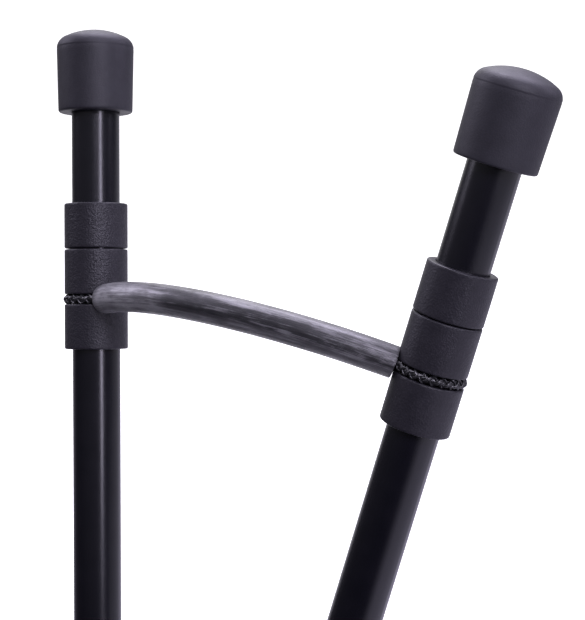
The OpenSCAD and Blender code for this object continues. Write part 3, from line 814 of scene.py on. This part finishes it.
def add_cord():
    """Four yarns, two each way, plaited over and under each other round a core, along the whole loop."""
    points, total = even_loop(cord_route(), CORD_STEP)
    n = len(points)
    along = [(points[(i + 1) % n] - points[i - 1]).normalized() for i in range(n)]
    across = [t.cross(Vector((0, 0, 1))).normalized() for t in along]
    over = [a.cross(t).normalized() for a, t in zip(across, along)]
    turns = round(total / PLAIT_PITCH)
    vertices, faces, route = [], [], []

    def add_tube(centers, radius_wide, radius_thin, outward, sides, offset):
        first = len(vertices)
        for i, c in enumerate(centers):
            side = along[i].cross(outward[i]).normalized()
            for k in range(sides):
                t = 2 * math.pi * k / sides
                spot = c + side * (radius_wide * math.cos(t)) + outward[i] * (radius_thin * math.sin(t))
                vertices.append(YOKE @ spot)
                route.append((total * i / n + offset, t / (2 * math.pi) * 0.003, 0))
        for i in range(n):
            j = (i + 1) % n
            for k in range(sides):
                m = (k + 1) % sides
                faces.append((
                    first + i * sides + k, first + i * sides + m,
                    first + j * sides + m, first + j * sides + k))

    add_tube(points, CORE_R, CORE_R, over, 10, 0)
    for way in (1, -1):
        for c in range(YARNS_EACH_WAY):
            outward, centers = [], []
            for i in range(n):
                angle = way * (2 * math.pi * turns * i / n) + 2 * math.pi * c / YARNS_EACH_WAY
                radial = across[i] * math.cos(angle) + over[i] * (GAP_FILL * math.sin(angle))
                weave = way * math.cos(2 * math.pi * turns * i / n * YARNS_EACH_WAY)
                centers.append(points[i] + radial * (YARN_LAY_R + YARN_WEAVE * weave))
                outward.append(radial)
            add_tube(centers, YARN_HALF_WIDTH, YARN_HALF_THICKNESS, outward, 12, 0.01 * (c + 1) * way)
    cord = new_piece("cord_braid", vertices, faces, "cord_yarn", "yoke", "cord", "rest_cord")
    store_route(cord.data, route)


# ---- Cradle ----


def cradle_frame(side):
    pivot = Vector(JOINTS[f"cradle_{side}_fold"]["pos_m"])
    away = pivot - stem_axis
    return (
        Matrix.Translation(pivot) @ Matrix.Rotation(math.atan2(away.y, away.x), 4, "Z")
        @ Matrix.Rotation(-CRADLE_RISE, 4, "Y")
    )


def add_sleeves():
    """Foam tubes: soft ends, a slightly uneven skin and a shallow dent where the body rests."""
    bore = CRADLE_ROD_R + FIT
    soft = 0.0032
    profile = (
        [(bore, 0.0006)] + arc((bore + 0.0006, 0.0006), 0.0006, 180, 270, 2)
        + arc((SLEEVE_R - soft, soft), soft, -90, 0, 8)
        + line((SLEEVE_R, soft), (SLEEVE_R, SLEEVE_LEN - soft), 60)[1:]
        + arc((SLEEVE_R - soft, SLEEVE_LEN - soft), soft, 0, 90, 8)
        + arc((bore + 0.0006, SLEEVE_LEN - 0.0006), 0.0006, 90, 180, 2)
    )
    for side, sign in SIDES.items():
        def shape(r, z, angle, sign=sign):
            if r < bore + 0.002:
                return r
            at = Vector((math.cos(angle) * 1.3, math.sin(angle) * 1.3, z * 70 + sign * 9))
            dent = 0.0006 * math.exp(-((z - SLEEVE_LEN * 0.55) / 0.022) ** 2) * max(0.0, -math.cos(angle))
            return r - 0.00022 * (0.5 - 0.5 * noise.noise(at)) - dent
        place = (
            cradle_frame(side) @ Matrix.Rotation(math.pi / 2, 4, "Y")
            @ Matrix.Translation((0, 0, SLEEVE_START))
        )
        vertices, faces = turned(profile, place, 96, shape)
        foam = new_piece(
            f"foam_{side}", vertices, faces, "sleeve_foam", f"cradle_{side}", "grey_rubber",
            f"cradle_{side}_sleeve")


def add_tips():
    profile = (
        [(0, 0), (TIP_R - 0.0008, 0)] + arc((TIP_R - 0.0008, 0.0008), 0.0008, -90, 0, 4)
        + line((TIP_R, 0.0008), (TIP_R, TIP_RUN), 8)[1:] + arc((0, TIP_RUN), TIP_R, 0, 84, 12)
        + [(0, TIP_RUN + TIP_R)]
    )
    for side, sign in SIDES.items():
        place = (
            cradle_frame(side) @ Matrix.Translation((CRADLE_RUN, 0, CRADLE_BEND_R))
            @ Matrix.Rotation(-CRADLE_BEND, 4, "Y") @ Matrix.Translation((FIT, 0, -CRADLE_BEND_R))
            @ Matrix.Rotation(math.pi / 2, 4, "Y")
        )
        vertices, faces = turned(profile, place, 72, rubber_shape(sign * 4.4, 0.00008))
        new_piece(
            f"rubber_tip_{side}", vertices, faces, "cap_rubber", f"cradle_{side}", "black_rubber",
            f"cradle_{side}_tip")


# ---- CAD nodes that stay ----

BEVELLED = {
    "hub_body": 0.0010, "stem_head": 0.0008, "yoke_block": 0.0010,
    "rear_leg_lug": 0.0010, "leg_left_lug": 0.0010, "leg_right_lug": 0.0010,
    "cradle_left_lug": 0.0007, "cradle_right_lug": 0.0007,
    "height_knob_grip": 0.0009, "tilt_knob_grip": 0.0009,
}


def finish_cad_nodes():
    slots = {s["node"]: s["material_slot"] for s in frame["record"]["subparts"]}
    for name, node in NODES.items():
        material = FINISH[SLOT_FINISH[slots[name]]]
        node.data.materials.clear()
        node.data.materials.append(material)
        if name in BEVELLED:
            weld = node.modifiers.new("weld", "WELD")
            weld.merge_threshold = 0.00001
            bevel = node.modifiers.new("soft_edges", "BEVEL")
            bevel.width = BEVELLED[name]
            bevel.segments = 3
            bevel.limit_method = "ANGLE"
            bevel.angle_limit = math.radians(40)
            bevel.harden_normals = False
            smooth = node.modifiers.new("smooth", "WEIGHTED_NORMAL")
            smooth.keep_sharp = True


add_cord()
add_hose()
add_caps()
add_rings()
add_feet()
add_sleeves()
add_tips()
finish_cad_nodes()
